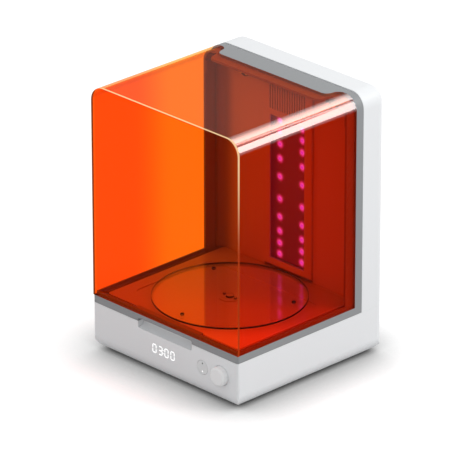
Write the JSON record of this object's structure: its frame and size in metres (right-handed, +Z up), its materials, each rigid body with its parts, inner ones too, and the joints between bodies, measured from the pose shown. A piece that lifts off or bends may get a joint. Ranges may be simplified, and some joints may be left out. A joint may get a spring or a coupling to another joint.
{
  "type": "dental lab light curing unit",
  "caption": "Bench-top light curing unit with a swing-up amber cover, turntable, lamp columns in the back wall, warm air fan, time display, round button and push-turn knob.",
  "frame": {"origin": "centre of the footprint box on the table, under the feet", "axes": "+Z up, +X to the right seen from the front, +Y from the front panel to the back of the tower"},
  "size_m": [0.256, 0.26, 0.355],
  "materials": {
    "white_housing": "satin moulded ABS",
    "grey_trim": "satin moulded, mid grey",
    "amber_acrylic": "polished amber acrylic",
    "clear_acrylic": "polished clear acrylic",
    "clear_window": "clear window",
    "polished_steel": "polished reflector sheet",
    "back_wall": "satin coated reflector sheet",
    "dark_plastic": "matt black moulded",
    "rubber": "matt rubber",
    "screw_steel": "zinc plated",
    "steel": "turned steel",
    "bronze": "sintered bronze",
    "aluminium": "extruded",
    "board_green": "solder mask",
    "board_white": "white solder mask",
    "led_lens": "glowing lens",
    "lit_white": "glowing light guide",
    "knob_plastic": "satin moulded",
    "heater_metal": "finned heater",
    "zinc": "galvanised sheet"
  },
  "bodies": {
    "root": {"base_shell": "white_housing", "base_plate": "zinc", "rubber_feet": "rubber", "base_screws": "screw_steel", "chamber_floor": "polished_steel", "tower_shell": "white_housing", "tower_screws": "screw_steel", "back_panel": "back_wall", "panel_screws": "screw_steel", "led_window": "clear_window", "led_board": "board_white", "leds": "led_lens", "led_standoffs": "bronze", "heat_sink": "aluminium", "fan_frame": "dark_plastic", "fan_screws": "screw_steel", "air_heater": "heater_metal", "temperature_probe": "steel", "main_board": "board_green", "board_components": "dark_plastic", "board_screws": "screw_steel", "dc_jack": "dark_plastic", "display_board": "board_green", "display_digits": "lit_white", "encoder_body": "steel", "button_switch": "dark_plastic", "lid_sensor": "dark_plastic", "turntable_motor": "zinc", "motor_bracket": "zinc", "motor_screws": "screw_steel", "shaft_bushing": "bronze", "hinge_brackets": "dark_plastic", "hinge_screws": "screw_steel"},
    "cover": {"cover_frame": "grey_trim", "canopy": "amber_acrylic", "front_panel": "amber_acrylic", "lift_grip": "dark_plastic", "hinge_pins": "steel", "lid_magnet": "steel", "cover_guides": "grey_trim"},
    "turntable_drive": {"drive_hub": "steel", "motor_shaft": "steel"},
    "turntable": {"turntable_disc": "clear_acrylic", "disc_studs": "clear_acrylic"},
    "knob_press": {"encoder_plunger": "steel"},
    "knob": {"knob": "knob_plastic", "encoder_shaft": "steel"},
    "button": {"mode_button": "knob_plastic", "button_lights": "lit_white"},
    "fan": {"fan_rotor": "dark_plastic"}
  },
  "joints": [
    {"name": "cover_hinge", "type": "hinge", "parent": "root", "child": "cover", "pos_m": [0, 0.0882, 0.3515], "axis": [-1, 0, 0], "range_deg": [0, 75]},
    {"name": "turntable_spin", "type": "hinge", "parent": "root", "child": "turntable_drive", "pos_m": [0, -0.0104, 0.076], "axis": [0, 0, 1], "continuous": true},
    {"name": "disc_lift", "type": "slide", "parent": "turntable_drive", "child": "turntable", "axis": [0, 0, 1], "range_m": [0, 0.06]},
    {"name": "knob_push", "type": "slide", "parent": "root", "child": "knob_press", "axis": [0, 1, 0], "range_m": [0, 0.0007], "stiffness_N_per_m": 1500},
    {"name": "knob_turn", "type": "hinge", "parent": "knob_press", "child": "knob", "pos_m": [0.0986, -0.125, 0.0394], "axis": [0, -1, 0], "continuous": true},
    {"name": "button_push", "type": "slide", "parent": "root", "child": "button", "axis": [0, 1, 0], "range_m": [0, 0.0007], "stiffness_N_per_m": 1500},
    {"name": "fan_spin", "type": "hinge", "parent": "root", "child": "fan", "pos_m": [0, 0.11, 0.3175], "axis": [0, 1, 0], "continuous": true}
  ]
}
